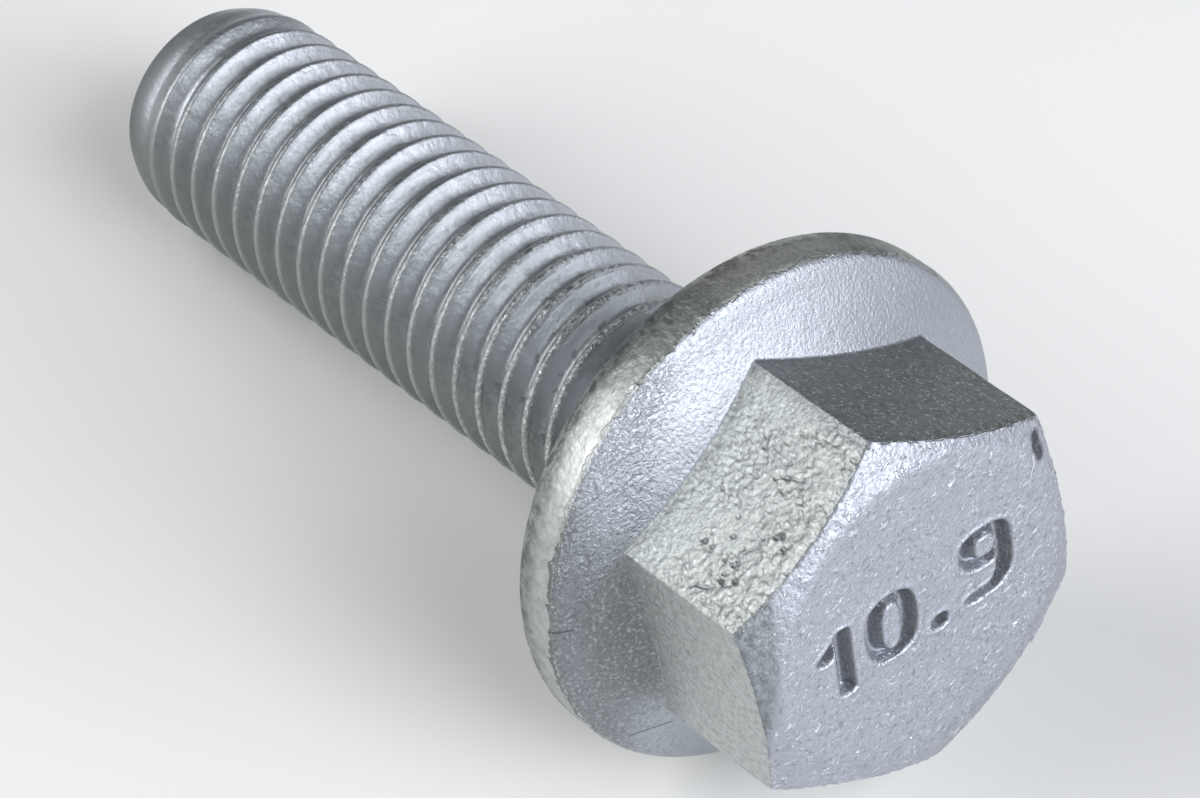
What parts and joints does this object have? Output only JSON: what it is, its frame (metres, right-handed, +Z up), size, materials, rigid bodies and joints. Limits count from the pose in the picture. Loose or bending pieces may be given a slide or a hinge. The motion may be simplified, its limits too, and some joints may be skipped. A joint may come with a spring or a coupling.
{
  "type": "hexagon flange bolt",
  "caption": "Hexagon head bolt with a wide conical flange and a coarse metric thread up to the head, dull silver zinc coat.",
  "frame": {"origin": "on the table under the middle of the bolt, which lies as it rests on its flange rim and its thread", "axes": "+Z up, +X along the bolt towards its head, which lies about 10 degrees higher than the thread end"},
  "size_m": [0.0472, 0.022, 0.0219],
  "materials": {
    "coated_steel": "dull silver zinc flake coat, slightly rough, a little brighter on the worn edges"
  },
  "bodies": {
    "root": {"bolt": "coated_steel"}
  },
  "joints": []
}
